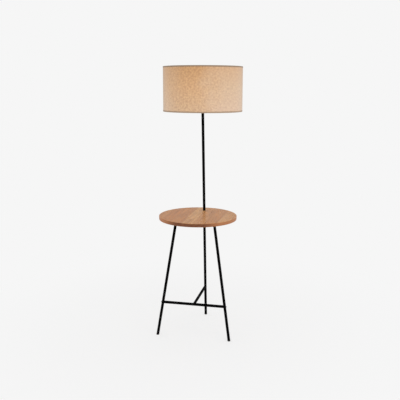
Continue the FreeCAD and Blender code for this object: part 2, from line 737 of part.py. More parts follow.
def bulb_cap():
    """Rolled sleeve with a flared collar round the neck of the glass."""
    base = HOLDER + UP * BULB_TIP_Z
    top = BULB_CAP_HEIGHT
    flare = top - BULB_CAP_COLLAR
    sleeve = corrugated(BULB_CAP_SLEEVE_R, SOCKET_WALL, BULB_CAP_LOW, flare, base)
    rim = BULB_NECK_R - 0.2
    outline = [(BULB_CAP_SLEEVE_R, flare), (BULB_CAP_SLEEVE_R + SOCKET_WALL, flare), (rim, top - 1.5),
               (rim, top), (BULB_CAP_SLEEVE_R, top)]
    return sleeve.fuse(revolved(outline, base)).removeSplitter()


def bulb_insulator():
    """Black glass disc between the sleeve and the contact."""
    base = HOLDER + UP * BULB_TIP_Z
    outline = [(BULB_CONTACT_R, 1.0), (8.0, 1.0), (BULB_CAP_SLEEVE_R, BULB_CAP_LOW),
               (BULB_CONTACT_R, BULB_CAP_LOW)]
    return revolved(outline, base)


def bulb_contact():
    """Brass tip that rests on the holder's tongue."""
    base = HOLDER + UP * BULB_TIP_Z
    return revolved([(0, 0), (3.5, 0), (BULB_CONTACT_R, 1.0), (BULB_CONTACT_R, 3.0), (0, 3.0)], base)


# ---------------------------------------------------------------- all pieces

os.makedirs("parts", exist_ok=True)

save(table_top(), "table_top")
for side, name in ((-1, "front_left"), (1, "front_right")):
    foot = front_leg_at(side, 0)
    top = front_leg_at(side, PLATE_Z)
    save(front_leg(side), name + "_leg")
    save(front_plate(side), name + "_plate")
    save(foot_plug(foot, top), name + "_foot")
save(rear_leg(), "rear_leg")
save(leg_plate(pole_at(PLATE_Z), NIPPLE_R), "rear_plate")
save(foot_plug(POLE_FOOT, pole_at(PLATE_Z)), "rear_foot")
save(plate_screws(), "plate_screws")
save(leg_bushes(), "leg_bushes")
save(rear_stud(), "rear_stud")
save(cord_grommet(), "cord_grommet")
save(stretcher_bar(), "stretcher_bar")
save(stretcher_brace(), "stretcher_brace")
save(stretcher_inserts(), "stretcher_inserts")
save(stretcher_bolts(), "stretcher_bolts")
save(upper_pole(), "upper_pole")
save(seat_ring(), "seat_ring")
save(pole_nipple(), "pole_nipple")
save(pole_bushes(), "pole_bushes")
save(inner_lead(), "inner_lead")
save(holder_nipple(), "holder_nipple")
save(holder_cap(), "holder_cap")
save(holder_shell(), "holder_shell")
save(holder_insert(), "holder_insert")
save(screw_shell(), "screw_shell")
save(centre_contact(), "centre_contact")
save(terminal_screws(), "terminal_screws")
save(shade_ring(), "shade_ring")
save(switch_knob(), "switch_knob")
save(switch_spindle(), "switch_spindle")
save(shade_hub(), "shade_hub")
for k in range(ARM_COUNT):
    save(spider_arm(k), "spider_arm_" + str(k + 1))
save(wire_ring(RING_LOW_Z), "shade_lower_wire")
save(wire_ring(RING_HIGH_Z), "shade_upper_wire")
save(shade_skin(FABRIC_R, FABRIC_T), "shade_fabric")
save(shade_skin(LINING_R, LINING_T), "shade_lining")
save(hem(SHADE_BOTTOM_Z, 1), "shade_lower_hem")
save(hem(LAMP_HEIGHT, -1), "shade_upper_hem")
save(bulb_glass(), "bulb_glass")
save(bulb_cap(), "bulb_cap")
save(bulb_insulator(), "bulb_insulator")
save(bulb_contact(), "bulb_contact")
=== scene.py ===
# %% [markdown]
# # Floor lamp with a round side table
# The metal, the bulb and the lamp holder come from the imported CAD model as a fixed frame. This
# script gives every surface its finish, models the linen drum and its rim tapes as sheets, and
# sets up the light and the camera. Everything is in metres, in the frame of the CAD model.

# %% Load the frame
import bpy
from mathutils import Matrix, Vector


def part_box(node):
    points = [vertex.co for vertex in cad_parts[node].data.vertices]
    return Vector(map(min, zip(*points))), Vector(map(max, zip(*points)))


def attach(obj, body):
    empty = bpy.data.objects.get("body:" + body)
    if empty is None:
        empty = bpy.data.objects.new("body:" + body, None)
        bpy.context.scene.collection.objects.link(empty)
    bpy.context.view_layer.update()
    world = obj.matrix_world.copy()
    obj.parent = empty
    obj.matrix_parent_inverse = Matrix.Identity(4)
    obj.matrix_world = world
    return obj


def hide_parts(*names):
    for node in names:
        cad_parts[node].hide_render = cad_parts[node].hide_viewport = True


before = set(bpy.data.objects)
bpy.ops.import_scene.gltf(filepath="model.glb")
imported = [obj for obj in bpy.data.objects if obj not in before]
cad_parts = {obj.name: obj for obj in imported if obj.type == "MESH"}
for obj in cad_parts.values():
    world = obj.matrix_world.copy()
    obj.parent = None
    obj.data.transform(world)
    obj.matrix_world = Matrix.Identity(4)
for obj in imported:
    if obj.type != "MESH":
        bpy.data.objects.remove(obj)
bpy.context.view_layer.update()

# %% Modules for the rest of the lesson
import math
import bpy
from mathutils import Matrix, Vector

MM = 0.001

# %% [markdown]
# ## Colours
# Colours are written as sRGB hex values, the way a paint card or a picture editor gives them.
# Shaders work with linear light, so one function turns a hex value into linear numbers.

# %% A hex colour in linear light
def linear(hex_colour):
    """The colour with red, green, blue and full cover, in linear light."""
    channels = [int(hex_colour[i:i + 2], 16) / 255 for i in (1, 3, 5)]
    light = [c / 12.92 if c <= 0.04045 else ((c + 0.055) / 1.055) ** 2.4 for c in channels]
    return (*light, 1.0)


PALE = "#F6F6F6"
print(PALE, "in linear light", [round(v, 3) for v in linear(PALE)])

# %% [markdown]
# ## Camera
# The photograph looks slightly down at the lamp from a little to its right, from 3.7 m away. The
# camera could be placed by eye, but the outlines only fall where they should when place, turn and
# lens are found together, so these numbers come from a fit to the lamp's edges.

# %% Camera
CAMERA_PLACE = Vector((0.7119, -3.2931, 1.4418))
CAMERA_HEADING = math.radians(12.215)
CAMERA_DOWN = math.radians(10.944)
CAMERA_ROLL = math.radians(0.168)
CAMERA_LENS = 53.04
CAMERA_SENSOR = 36.0

camera = bpy.data.objects.new("camera", bpy.data.cameras.new("camera"))
bpy.context.scene.collection.objects.link(camera)
camera.data.lens = CAMERA_LENS
camera.data.sensor_width = CAMERA_SENSOR
heading = Matrix.Rotation(CAMERA_HEADING, 4, "Z")
tilt = Matrix.Rotation(math.pi / 2 - CAMERA_DOWN, 4, "X")
roll = Matrix.Rotation(CAMERA_ROLL, 4, "Z")
camera.matrix_world = Matrix.Translation(CAMERA_PLACE) @ heading @ tilt @ roll
bpy.context.scene.camera = camera
bpy.context.scene.view_settings.view_transform = "Standard"
print("camera", round(CAMERA_PLACE.length, 2), "m from the lamp's foot")

# %% [markdown]
# ## Helpers for materials
# Every material below is a small graph of nodes. One helper adds a node, sets its options and
# numbers, and links its inputs, so that a material reads as a list of steps. Two more start a
# material and finish it, and the last one gives it to nodes of the CAD model.

# %% Add one node with its settings and links
def put(material, kind, settings=None, links=None):
    """A new node of this kind, with its options and numbers set and its inputs linked."""
    made = material.node_tree.nodes.new(kind)
    for name, value in (settings or {}).items():
        if isinstance(name, str) and hasattr(made, name):
            setattr(made, name, value)
        else:
            made.inputs[name].default_value = value
    for name, output in (links or {}).items():
        material.node_tree.links.new(output, made.inputs[name])
    return made


def blank(name):
    """A new material with an empty graph."""
    material = bpy.data.materials.new(name)
    material.use_nodes = True
    material.node_tree.nodes.clear()
    return material


def finish_with(material, shader):
    """Link the last shader to the material's output."""
    put(material, "ShaderNodeOutputMaterial", {}, {"Surface": shader})
    print("material", material.name, len(material.node_tree.nodes), "nodes")


# %% Dress CAD nodes in a material
def dress(material, *names):
    """Give the CAD nodes with these names this one material."""
    for name in names:
        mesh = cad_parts[name].data
        mesh.materials.clear()
        mesh.materials.append(material)


# %% [markdown]
# ## Studio
# A plain pale floor carries the lamp, and the world is an even pale light tent. The camera, and
# glossy surfaces, see the tent as the pale backdrop itself, while the light that it gives is set
# apart, at a plain level. One broad lamp stands to the right, so that the drum has a light side.

# %% Backdrop and tent
BACKDROP = linear(PALE)
TENT_LIGHT = 0.9

tent = bpy.data.worlds.new("light_tent")
bpy.context.scene.world = tent
tent.use_nodes = True
tent.node_tree.nodes.clear()
ray = put(tent, "ShaderNodeLightPath")
clear = put(tent, "ShaderNodeMath", {"operation": "MAXIMUM"},
            {0: ray.outputs["Is Glossy Ray"], 1: ray.outputs["Is Transmission Ray"]})
seen = put(tent, "ShaderNodeMath", {"operation": "MAXIMUM"},
           {0: ray.outputs["Is Camera Ray"], 1: clear.outputs[0]})
glow = put(tent, "ShaderNodeBackground", {"Color": (1.0, 1.0, 1.0, 1.0), "Strength": TENT_LIGHT})
paper = put(tent, "ShaderNodeBackground", {"Color": BACKDROP, "Strength": 1.0})
both = put(tent, "ShaderNodeMixShader", {},
           {0: seen.outputs[0], 1: glow.outputs[0], 2: paper.outputs[0]})
put(tent, "ShaderNodeOutputWorld", {}, {"Surface": both.outputs[0]})
print("tent light", TENT_LIGHT)

# %% [markdown]
# The floor is one square sheet. Far from the lamp it only shows the backdrop's colour, so that no
# horizon line is seen. Near the lamp a part of it is lit, and there it keeps the lamp's shadow.

# %% Floor
FLOOR_HALF = 30.0
SHADOW_FULL = 0.5
SHADOW_REACH = 1.6
SHADOW_SHARE = 0.27

floor_mesh = bpy.data.meshes.new("floor")
corners = [(-FLOOR_HALF, -FLOOR_HALF, 0), (FLOOR_HALF, -FLOOR_HALF, 0),
           (FLOOR_HALF, FLOOR_HALF, 0), (-FLOOR_HALF, FLOOR_HALF, 0)]
floor_mesh.from_pydata(corners, [], [(0, 1, 2, 3)])
floor = bpy.data.objects.new("floor", floor_mesh)
bpy.context.scene.collection.objects.link(floor)

paper_floor = blank("paper_floor")
place = put(paper_floor, "ShaderNodeTexCoord")
away = put(paper_floor, "ShaderNodeVectorMath", {"operation": "LENGTH"},
           {0: place.outputs["Object"]})
fade = put(paper_floor, "ShaderNodeMapRange",
           {"From Min": SHADOW_FULL, "From Max": SHADOW_REACH, "To Min": 1.0 - SHADOW_SHARE,
            "To Max": 1.0, "interpolation_type": "SMOOTHSTEP"},
           {"Value": away.outputs["Value"]})
ray = put(paper_floor, "ShaderNodeLightPath")
flat = put(paper_floor, "ShaderNodeMath", {"operation": "MULTIPLY"},
           {0: fade.outputs[0], 1: ray.outputs["Is Camera Ray"]})
sheet = put(paper_floor, "ShaderNodeBsdfDiffuse", {"Color": BACKDROP})
shine = put(paper_floor, "ShaderNodeEmission", {"Color": BACKDROP, "Strength": 1.0})
both = put(paper_floor, "ShaderNodeMixShader", {},
           {0: flat.outputs[0], 1: sheet.outputs[0], 2: shine.outputs[0]})
finish_with(paper_floor, both.outputs[0])
floor_mesh.materials.append(paper_floor)

# %% Broad lamp on the right
KEY_PLACE = Vector((2.4, -2.0, 2.3))
KEY_AIM = Vector((0.0, 0.0, 1.1))
KEY_POWER = 14.0
KEY_WIDTH = 1.8
KEY_HEIGHT = 2.2

key = bpy.data.objects.new("soft_box", bpy.data.lights.new("soft_box", "AREA"))
bpy.context.scene.collection.objects.link(key)
key.data.shape = "RECTANGLE"
key.data.size = KEY_WIDTH
key.data.size_y = KEY_HEIGHT
key.data.energy = KEY_POWER
key.location = KEY_PLACE
key.rotation_euler = (KEY_AIM - KEY_PLACE).to_track_quat("-Z", "Y").to_euler()
print("soft box", round((KEY_AIM - KEY_PLACE).length, 2), "m away")

# %% [markdown]
# ## Steel tubes: black powder coat
# The legs, the stretcher and the pole are steel tube with a baked powder coat. Powder melts into
# a skin with a very fine orange peel, a matt black that takes almost no reflection. The peel is
# about 0.8 mm across on the real tube; it is drawn at 2 mm, since a finer one is lost in a
# picture of the whole lamp.

# %% Black powder coat
PEEL = 2.0 * MM
HAND_MARKS = 60 * MM

powder_black = blank("steel_black_powder_coat")
place = put(powder_black, "ShaderNodeTexCoord")
peel = put(powder_black, "ShaderNodeTexNoise", {"Scale": 1 / PEEL, "Detail": 2.0, "Roughness": 0.5},
           {"Vector": place.outputs["Object"]})
handling = put(powder_black, "ShaderNodeTexNoise", {"Scale": 1 / HAND_MARKS, "Detail": 4.0},
               {"Vector": place.outputs["Object"]})
tone = put(powder_black, "ShaderNodeMix",
           {"data_type": "RGBA", 6: linear("#020202"), 7: linear("#080707")},
           {0: handling.outputs["Fac"]})
matt = put(powder_black, "ShaderNodeMapRange", {"To Min": 0.62, "To Max": 0.74},
           {"Value": handling.outputs["Fac"]})
relief = put(powder_black, "ShaderNodeBump", {"Strength": 0.12, "Distance": 0.05 * MM},
             {"Height": peel.outputs["Fac"]})
coat = put(powder_black, "ShaderNodeBsdfPrincipled",
           {"IOR": 1.5, "Specular IOR Level": 0.03},
           {"Base Color": tone.outputs[2], "Roughness": matt.outputs[0],
            "Normal": relief.outputs[0]})
finish_with(powder_black, coat.outputs[0])
dress(powder_black, "front_left_leg", "front_right_leg", "rear_leg", "upper_pole", "seat_ring",
      "front_left_plate", "front_right_plate", "rear_plate", "stretcher_bar", "stretcher_brace")

# %% [markdown]
# ## Bolts: black oxide
# The button-head bolts of the stretcher are blackened in a salt bath and oiled. The oxide is
# thin, so the turned metal still shines through it: a dark metal with a low, oily gloss.

# %% Black oxide
TURNED_MARKS = 1.5 * MM

oxide_black = blank("steel_black_oxide")
place = put(oxide_black, "ShaderNodeTexCoord")
turned = put(oxide_black, "ShaderNodeTexNoise", {"Scale": 1 / TURNED_MARKS, "Detail": 3.0},
             {"Vector": place.outputs["Object"]})
gloss = put(oxide_black, "ShaderNodeMapRange", {"To Min": 0.32, "To Max": 0.48},
            {"Value": turned.outputs["Fac"]})
tone = put(oxide_black, "ShaderNodeMix",
           {"data_type": "RGBA", 6: linear("#1B1A1A"), 7: linear("#2A2826")},
           {0: turned.outputs["Fac"]})
bolt = put(oxide_black, "ShaderNodeBsdfPrincipled", {"Metallic": 1.0},
           {"Base Color": tone.outputs[2], "Roughness": gloss.outputs[0]})
finish_with(oxide_black, bolt.outputs[0])
dress(oxide_black, "stretcher_bolts")

# %% [markdown]
# ## Screws, studs and nipples: zinc plate
# Small steel hardware is barrel plated with zinc and passivated. It has a cool light grey, with
# cloudy patches a few millimetres wide where the parts rubbed against each other.

# %% Zinc plate
ZINC_CLOUD = 4 * MM

zinc = blank("steel_zinc_plated")
place = put(zinc, "ShaderNodeTexCoord")
cloud = put(zinc, "ShaderNodeTexNoise", {"Scale": 1 / ZINC_CLOUD, "Detail": 4.0, "Roughness": 0.6},
            {"Vector": place.outputs["Object"]})
tone = put(zinc, "ShaderNodeMix", {"data_type": "RGBA", 6: linear("#A9ABAF"), 7: linear("#C9CACB")},
           {0: cloud.outputs["Fac"]})
gloss = put(zinc, "ShaderNodeMapRange", {"To Min": 0.28, "To Max": 0.45},
            {"Value": cloud.outputs["Fac"]})
plate = put(zinc, "ShaderNodeBsdfPrincipled", {"Metallic": 1.0},
            {"Base Color": tone.outputs[2], "Roughness": gloss.outputs[0]})
finish_with(zinc, plate.outputs[0])
dress(zinc, "rear_stud", "plate_screws", "leg_bushes", "pole_bushes", "pole_nipple",
      "stretcher_inserts", "holder_nipple", "switch_spindle")

# %% [markdown]
# ## Feet: moulded polypropylene
# The plugs in the tube ends are injection moulded in a textured tool. Spark erosion leaves a
# grain of about 0.3 mm in the tool, which gives black plastic a soft, even, slightly grey sheen.
# It is drawn at 0.8 mm.

# %% Moulded black plastic
SPARK_GRAIN = 0.8 * MM
SCUFF = 9 * MM

moulded_black = blank("polypropylene_moulded_black")
place = put(moulded_black, "ShaderNodeTexCoord")
spark = put(moulded_black, "ShaderNodeTexNoise", {"Scale": 1 / SPARK_GRAIN, "Detail": 2.0},
            {"Vector": place.outputs["Object"]})
scuff = put(moulded_black, "ShaderNodeTexNoise", {"Scale": 1 / SCUFF, "Detail": 5.0},
            {"Vector": place.outputs["Object"]})
tone = put(moulded_black, "ShaderNodeMix",
           {"data_type": "RGBA", 6: linear("#101010"), 7: linear("#191918")},
           {0: scuff.outputs["Fac"]})
relief = put(moulded_black, "ShaderNodeBump", {"Strength": 0.4, "Distance": 0.04 * MM},
             {"Height": spark.outputs["Fac"]})
plastic = put(moulded_black, "ShaderNodeBsdfPrincipled",
              {"IOR": 1.49, "Roughness": 0.5, "Specular IOR Level": 0.3},
              {"Base Color": tone.outputs[2], "Normal": relief.outputs[0]})
finish_with(moulded_black, plastic.outputs[0])
dress(moulded_black, "front_left_foot", "front_right_foot", "rear_foot")

# %% [markdown]
# ## Lamp holder: moulded PBT
# Lamp holders are moulded from PBT, which stands the heat of a bulb. It comes out of a polished
# tool, so it is glossier than the feet, with faint flow marks along the bell.

# %% Holder plastic
FLOW_MARK = 12 * MM

holder_black = blank("pbt_moulded_black")
place = put(holder_black, "ShaderNodeTexCoord")
flow = put(holder_black, "ShaderNodeTexNoise",
           {"Scale": 1 / FLOW_MARK, "Detail": 2.0, "Distortion": 1.5},
           {"Vector": place.outputs["Object"]})
tone = put(holder_black, "ShaderNodeMix",
           {"data_type": "RGBA", 6: linear("#121212"), 7: linear("#1E1D1C")},
           {0: flow.outputs["Fac"]})
gloss = put(holder_black, "ShaderNodeMapRange", {"To Min": 0.25, "To Max": 0.38},
            {"Value": flow.outputs["Fac"]})
pbt = put(holder_black, "ShaderNodeBsdfPrincipled", {"IOR": 1.57},
          {"Base Color": tone.outputs[2], "Roughness": gloss.outputs[0]})
finish_with(holder_black, pbt.outputs[0])
dress(holder_black, "holder_cap", "holder_shell", "shade_ring", "switch_knob")

# %% [markdown]
# ## Grommet and lead
# The grommet is moulded rubber, dull with a dusty bloom. The lead's sheath is extruded PVC:
# smooth along its length, with a soft gloss.

# %% Rubber and sheath
RUBBER_BLOOM = 3 * MM
DIE_LINE_WIDTH = 1 * MM
DIE_LINE_LENGTH = 40 * MM

rubber = blank("rubber_moulded_black")
place = put(rubber, "ShaderNodeTexCoord")
bloom = put(rubber, "ShaderNodeTexNoise", {"Scale": 1 / RUBBER_BLOOM, "Detail": 5.0},
            {"Vector": place.outputs["Object"]})
tone = put(rubber, "ShaderNodeMix",
           {"data_type": "RGBA", 6: linear("#141414"), 7: linear("#242322")},
           {0: bloom.outputs["Fac"]})
skin = put(rubber, "ShaderNodeBsdfPrincipled",
           {"IOR": 1.52, "Roughness": 0.75, "Specular IOR Level": 0.25},
           {"Base Color": tone.outputs[2]})
finish_with(rubber, skin.outputs[0])
dress(rubber, "cord_grommet")

sheath = blank("pvc_extruded_black")
place = put(sheath, "ShaderNodeTexCoord")
drawn = put(sheath, "ShaderNodeMapping",
            {"Scale": (1 / DIE_LINE_WIDTH, 1 / DIE_LINE_WIDTH, 1 / DIE_LINE_LENGTH)},
            {"Vector": place.outputs["Object"]})
lines = put(sheath, "ShaderNodeTexNoise", {"Scale": 1.0, "Detail": 2.0},
            {"Vector": drawn.outputs[0]})
tone = put(sheath, "ShaderNodeMix",
           {"data_type": "RGBA", 6: linear("#161616"), 7: linear("#202020")},
           {0: lines.outputs["Fac"]})
pvc = put(sheath, "ShaderNodeBsdfPrincipled", {"IOR": 1.53, "Roughness": 0.4},
          {"Base Color": tone.outputs[2]})
finish_with(sheath, pvc.outputs[0])
dress(sheath, "inner_lead")

# %% [markdown]
# ## Inside the holder: porcelain, nickel and brass
# The core of the holder is glazed porcelain: a white body with a clear glaze that pools a little.
# The screw shell and the bulb's cap are rolled sheet with bright nickel, and the contacts are
# rolled brass, which keeps fine lines from the rollers.

# %% Porcelain
GLAZE_POOL = 5 * MM

porcelain = blank("porcelain_glazed")
place = put(porcelain, "ShaderNodeTexCoord")
pool = put(porcelain, "ShaderNodeTexNoise", {"Scale": 1 / GLAZE_POOL, "Detail": 2.0},
           {"Vector": place.outputs["Object"]})
tone = put(porcelain, "ShaderNodeMix",
           {"data_type": "RGBA", 6: linear("#E3DFD6"), 7: linear("#EEEBE4")},
           {0: pool.outputs["Fac"]})
glaze = put(porcelain, "ShaderNodeBsdfPrincipled",
            {"IOR": 1.5, "Roughness": 0.3, "Coat Weight": 0.6, "Coat Roughness": 0.08},
            {"Base Color": tone.outputs[2]})
finish_with(porcelain, glaze.outputs[0])
dress(porcelain, "holder_insert")

# %% Nickel and brass
NICKEL_SMEAR = 6 * MM
ROLL_LINE_LENGTH = 8 * MM
ROLL_LINE_WIDTH = 0.6 * MM

nickel = blank("nickel_plated_sheet")
place = put(nickel, "ShaderNodeTexCoord")
smear = put(nickel, "ShaderNodeTexNoise", {"Scale": 1 / NICKEL_SMEAR, "Detail": 4.0},
            {"Vector": place.outputs["Object"]})
tone = put(nickel, "ShaderNodeMix",
           {"data_type": "RGBA", 6: linear("#BDB6A9"), 7: linear("#D2CCC0")},
           {0: smear.outputs["Fac"]})
gloss = put(nickel, "ShaderNodeMapRange", {"To Min": 0.14, "To Max": 0.3},
            {"Value": smear.outputs["Fac"]})
bright = put(nickel, "ShaderNodeBsdfPrincipled", {"Metallic": 1.0},
             {"Base Color": tone.outputs[2], "Roughness": gloss.outputs[0]})
finish_with(nickel, bright.outputs[0])
dress(nickel, "screw_shell", "bulb_cap")

brass = blank("brass_rolled")
place = put(brass, "ShaderNodeTexCoord")
rolled = put(brass, "ShaderNodeMapping",
             {"Scale": (1 / ROLL_LINE_LENGTH, 1 / ROLL_LINE_WIDTH, 1 / ROLL_LINE_WIDTH)},
             {"Vector": place.outputs["Object"]})
lines = put(brass, "ShaderNodeTexNoise", {"Scale": 1.0, "Detail": 3.0},
            {"Vector": rolled.outputs[0]})
tone = put(brass, "ShaderNodeMix",
           {"data_type": "RGBA", 6: linear("#B08A45"), 7: linear("#CDA65C")},
           {0: lines.outputs["Fac"]})
strip = put(brass, "ShaderNodeBsdfPrincipled", {"Metallic": 1.0, "Roughness": 0.3},
            {"Base Color": tone.outputs[2]})
finish_with(brass, strip.outputs[0])
dress(brass, "centre_contact", "terminal_screws", "bulb_contact")

# %% [markdown]
# ## Bulb: opal glass
# The glass is blown and coated inside with a white powder, which hides the light source and makes
# the bulb an even, milky white with a clear, sharp gloss on the outside. The black disc round the
# contact is pressed glass.

# %% Opal and black glass
POWDER_CLOUD = 15 * MM
GLASS_RIPPLE = 2 * MM

opal = blank("opal_glass_blown")
place = put(opal, "ShaderNodeTexCoord")
dust = put(opal, "ShaderNodeTexNoise", {"Scale": 1 / POWDER_CLOUD, "Detail": 3.0},
           {"Vector": place.outputs["Object"]})
tone = put(opal, "ShaderNodeMix", {"data_type": "RGBA", 6: linear("#EDEAE3"), 7: linear("#F4F2ED")},
           {0: dust.outputs["Fac"]})
milk = put(opal, "ShaderNodeBsdfPrincipled",
           {"IOR": 1.52, "Roughness": 0.35, "Coat Weight": 1.0, "Coat Roughness": 0.03},
           {"Base Color": tone.outputs[2]})
finish_with(opal, milk.outputs[0])
dress(opal, "bulb_glass")

black_glass = blank("glass_pressed_black")
place = put(black_glass, "ShaderNodeTexCoord")
ripple = put(black_glass, "ShaderNodeTexNoise", {"Scale": 1 / GLASS_RIPPLE, "Detail": 1.0},
             {"Vector": place.outputs["Object"]})
relief = put(black_glass, "ShaderNodeBump", {"Strength": 0.2, "Distance": 0.05 * MM},
             {"Height": ripple.outputs["Fac"]})
bead = put(black_glass, "ShaderNodeBsdfPrincipled",
           {"Base Color": linear("#0B0B0D"), "IOR": 1.52, "Roughness": 0.12},
           {"Normal": relief.outputs[0]})
finish_with(black_glass, bead.outputs[0])
dress(black_glass, "bulb_insulator")

# %% [markdown]
# ## Shade carrier: enamelled wire
# The rings and the three arms are steel wire, welded and dipped in white enamel. The dip leaves a
# slightly wavy gloss that gathers at the welds.

# %% White enamel
ENAMEL_SAG = 7 * MM

enamel = blank("wire_enamelled_white")
place = put(enamel, "ShaderNodeTexCoord")
sag = put(enamel, "ShaderNodeTexNoise", {"Scale": 1 / ENAMEL_SAG, "Detail": 2.0},
          {"Vector": place.outputs["Object"]})
tone = put(enamel, "ShaderNodeMix",
           {"data_type": "RGBA", 6: linear("#DEDCD6"), 7: linear("#E9E7E1")},
           {0: sag.outputs["Fac"]})
relief = put(enamel, "ShaderNodeBump", {"Strength": 0.3, "Distance": 0.1 * MM},
             {"Height": sag.outputs["Fac"]})
dip = put(enamel, "ShaderNodeBsdfPrincipled", {"IOR": 1.5, "Roughness": 0.28},
          {"Base Color": tone.outputs[2], "Normal": relief.outputs[0]})
finish_with(enamel, dip.outputs[0])
dress(enamel, "shade_hub", "spider_arm_1", "spider_arm_2", "spider_arm_3", "shade_lower_wire",
      "shade_upper_wire")

# %% [markdown]
# ## Lining: calendered film
# The linen is glued to a stiff white film that makes the drum round. Film rolled between hot
# drums has a satin face with very faint lines along the roll, and a little of the linen's warmth
# shows through it.

# %% Lining film
FILM_LINE_LENGTH = 60 * MM
FILM_LINE_WIDTH = 3 * MM

film = blank("pvc_film_calendered")
place = put(film, "ShaderNodeTexCoord")
roll_lines = put(film, "ShaderNodeMapping",
                 {"Scale": (1 / FILM_LINE_LENGTH, 1 / FILM_LINE_LENGTH, 1 / FILM_LINE_WIDTH)},
                 {"Vector": place.outputs["Object"]})
lines = put(film, "ShaderNodeTexNoise", {"Scale": 1.0, "Detail": 3.0},
            {"Vector": roll_lines.outputs[0]})
tone = put(film, "ShaderNodeMix", {"data_type": "RGBA", 6: linear("#DCCDB9"), 7: linear("#E6DACA")},
           {0: lines.outputs["Fac"]})
satin = put(film, "ShaderNodeBsdfPrincipled", {"IOR": 1.53, "Roughness": 0.5},
            {"Base Color": tone.outputs[2]})
finish_with(film, satin.outputs[0])
dress(film, "shade_lining")

# %% [markdown]
# ## Table top: lacquered oak
# The top is glued up from oak staves that run from front to back, with an eased edge and a satin
# lacquer. Each stave comes from another board, so it has its own tone and its own grain. The real
# grain lines lie 1 to 4 mm apart and the pores are 0.3 mm wide; the pores are drawn at 0.9 mm.
# The staves could be separate meshes, but they are one smooth board to the hand, so the CAD board
# stays whole and the joints are drawn in its material from the board's own coordinates.

# %% Staves
STAVE_WIDTH = 64 * MM
STAVE_SHIFT = 310.5 * MM
STAVE_TONES = (0.3, 0.35, 0.15, 0.25, 0.95, 0.5, 0.4, 0.85, 0.5)

oak = blank("oak_lacquered")
place = put(oak, "ShaderNodeTexCoord")
axes = put(oak, "ShaderNodeSeparateXYZ", {}, {0: place.outputs["Object"]})
count = put(oak, "ShaderNodeMath",
            {"operation": "MULTIPLY_ADD", 1: 1 / STAVE_WIDTH, 2: STAVE_SHIFT / STAVE_WIDTH},
            {0: axes.outputs["X"]})
stave = put(oak, "ShaderNodeMath", {"operation": "FLOOR"}, {0: count.outputs[0]})
across = put(oak, "ShaderNodeMath", {"operation": "FRACT"}, {0: count.outputs[0]})
board = put(oak, "ShaderNodeTexWhiteNoise", {"noise_dimensions": "1D"}, {"W": stave.outputs[0]})
place_in_row = put(oak, "ShaderNodeMath",
                   {"operation": "MULTIPLY_ADD", 1: 1 / len(STAVE_TONES),
                    2: 0.5 / len(STAVE_TONES)},
                   {0: stave.outputs[0]})
chosen = put(oak, "ShaderNodeValToRGB", {}, {0: place_in_row.outputs[0]})
chosen.color_ramp.interpolation = "CONSTANT"
for index, value in enumerate(STAVE_TONES):
    if index < 2:
        stop = chosen.color_ramp.elements[index]
        stop.position = index / len(STAVE_TONES)
    else:
        stop = chosen.color_ramp.elements.new(index / len(STAVE_TONES))
    stop.color = (value, value, value, 1.0)
table_low, table_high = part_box("table_top")
print("staves across the table", round((table_high.x - table_low.x) / STAVE_WIDTH, 1))

# %% [markdown]
# Every stave is read from its own spot of the pattern, so no grain runs on across a joint. Three
# patterns lie over each other: fine grain along the stave, the wide arches of the growth rings,
# and the short dark pores.

# %% Grain of each stave
BOARD_SHIFT = 3.0
GRAIN_WIDTH = 5 * MM
GRAIN_LENGTH = 160 * MM
GRAIN_DEPTH = 30 * MM
FIGURE_WIDTH = 34 * MM
FIGURE_LENGTH = 260 * MM
FIGURE_DEPTH = 60 * MM
RINGS_IN_FIGURE = 9.0
PORE_WIDTH = 0.9 * MM
PORE_LENGTH = 14 * MM

own_place = put(oak, "ShaderNodeVectorMath", {"operation": "SCALE", "Scale": BOARD_SHIFT},
                {0: board.outputs["Color"]})
moved = put(oak, "ShaderNodeVectorMath", {"operation": "ADD"},
            {0: place.outputs["Object"], 1: own_place.outputs[0]})
long_way = put(oak, "ShaderNodeMapping",
               {"Scale": (1 / GRAIN_WIDTH, 1 / GRAIN_LENGTH, 1 / GRAIN_DEPTH)},
               {"Vector": moved.outputs[0]})
grain = put(oak, "ShaderNodeTexNoise",
            {"Scale": 1.0, "Detail": 4.0, "Roughness": 0.55, "Distortion": 0.35},
            {"Vector": long_way.outputs[0]})
figure_way = put(oak, "ShaderNodeMapping",
                 {"Scale": (1 / FIGURE_WIDTH, 1 / FIGURE_LENGTH, 1 / FIGURE_DEPTH)},
                 {"Vector": moved.outputs[0]})
figure = put(oak, "ShaderNodeTexNoise", {"Scale": 1.0, "Detail": 1.0},
             {"Vector": figure_way.outputs[0]})
rings = put(oak, "ShaderNodeMath", {"operation": "MULTIPLY", 1: RINGS_IN_FIGURE},
            {0: figure.outputs["Fac"]})
ring = put(oak, "ShaderNodeMath", {"operation": "PINGPONG", 1: 0.5}, {0: rings.outputs[0]})
pore_way = put(oak, "ShaderNodeMapping",
               {"Scale": (1 / PORE_WIDTH, 1 / PORE_LENGTH, 1 / PORE_WIDTH)},
               {"Vector": moved.outputs[0]})
pores = put(oak, "ShaderNodeTexNoise", {"Scale": 1.0, "Detail": 1.0},
            {"Vector": pore_way.outputs[0]})
pore = put(oak, "ShaderNodeMapRange", {"From Min": 0.62, "From Max": 0.72},
           {"Value": pores.outputs["Fac"]})

# %% [markdown]
# Each stave's tone comes first. Warm streaks tint it, and the grain, the rings, the pores and the
# thin dark glue joints make it lighter or darker.

# %% Colour of the face
STREAK_WIDTH = 19 * MM
STREAK_LENGTH = 190 * MM
JOINT_SHARE = 0.012

